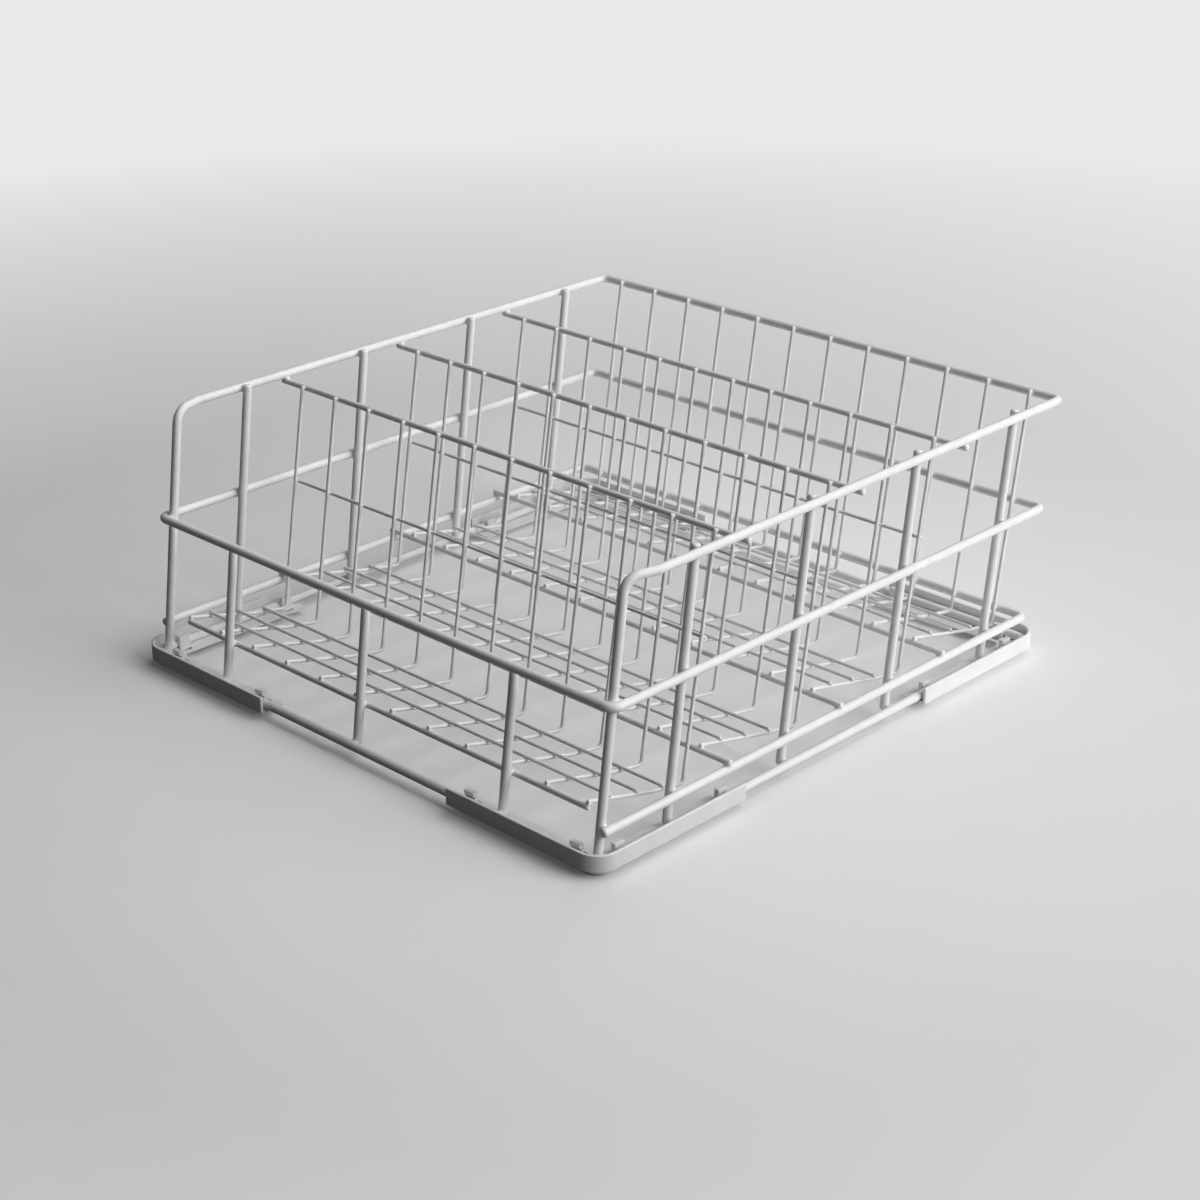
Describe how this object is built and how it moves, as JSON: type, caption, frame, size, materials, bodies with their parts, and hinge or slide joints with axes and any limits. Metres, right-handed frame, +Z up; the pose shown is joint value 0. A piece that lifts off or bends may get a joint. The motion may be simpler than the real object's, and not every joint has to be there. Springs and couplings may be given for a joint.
{
  "type": "dishwasher glass rack",
  "caption": "Square wire rack for washing glasses: leaning rows of thin bent wires in a frame of thick coated wire, open low at the front, on moulded corner shoes.",
  "frame": {"origin": "on the floor, at the middle of the rack's overall width and depth", "axes": "+X left to right along the open front, +Y to the back, +Z up"},
  "size_m": [0.5, 0.5206, 0.2068],
  "materials": {
    "coated_wire": "satin",
    "shoe_plastic": "matte"
  },
  "bodies": {
    "root": {"bottom_ring": "coated_wire", "corner_shoe_back_left": "shoe_plastic", "corner_shoe_back_right": "shoe_plastic", "corner_shoe_front_left": "shoe_plastic", "corner_shoe_front_right": "shoe_plastic", "divider_1_cross_wire": "coated_wire", "divider_1_top_rail": "coated_wire", "divider_2_cross_wire": "coated_wire", "divider_2_top_rail": "coated_wire", "divider_3_cross_wire": "coated_wire", "divider_3_top_rail": "coated_wire", "front_post_1": "coated_wire", "front_post_2": "coated_wire", "front_post_3": "coated_wire", "left_post_1": "coated_wire", "left_post_2": "coated_wire", "left_post_3": "coated_wire", "left_post_4": "coated_wire", "lower_rail": "coated_wire", "mid_ring": "coated_wire", "right_post_1": "coated_wire", "right_post_2": "coated_wire", "right_post_3": "coated_wire", "right_post_4": "coated_wire", "row_1_floor_wire_1": "coated_wire", "row_1_floor_wire_2": "coated_wire", "row_1_floor_wire_3": "coated_wire", "row_1_front_rail": "coated_wire", "row_1_glass_wires": "coated_wire", "row_2_floor_wire_1": "coated_wire", "row_2_floor_wire_2": "coated_wire", "row_2_floor_wire_3": "coated_wire", "row_2_front_rail": "coated_wire", "row_2_glass_wires": "coated_wire", "row_3_floor_wire_1": "coated_wire", "row_3_floor_wire_2": "coated_wire", "row_3_floor_wire_3": "coated_wire", "row_3_front_rail": "coated_wire", "row_3_glass_wires": "coated_wire", "row_4_floor_wire_1": "coated_wire", "row_4_floor_wire_2": "coated_wire", "row_4_floor_wire_3": "coated_wire", "row_4_front_rail": "coated_wire", "row_4_glass_wires": "coated_wire", "top_rail": "coated_wire"}
  },
  "joints": []
}
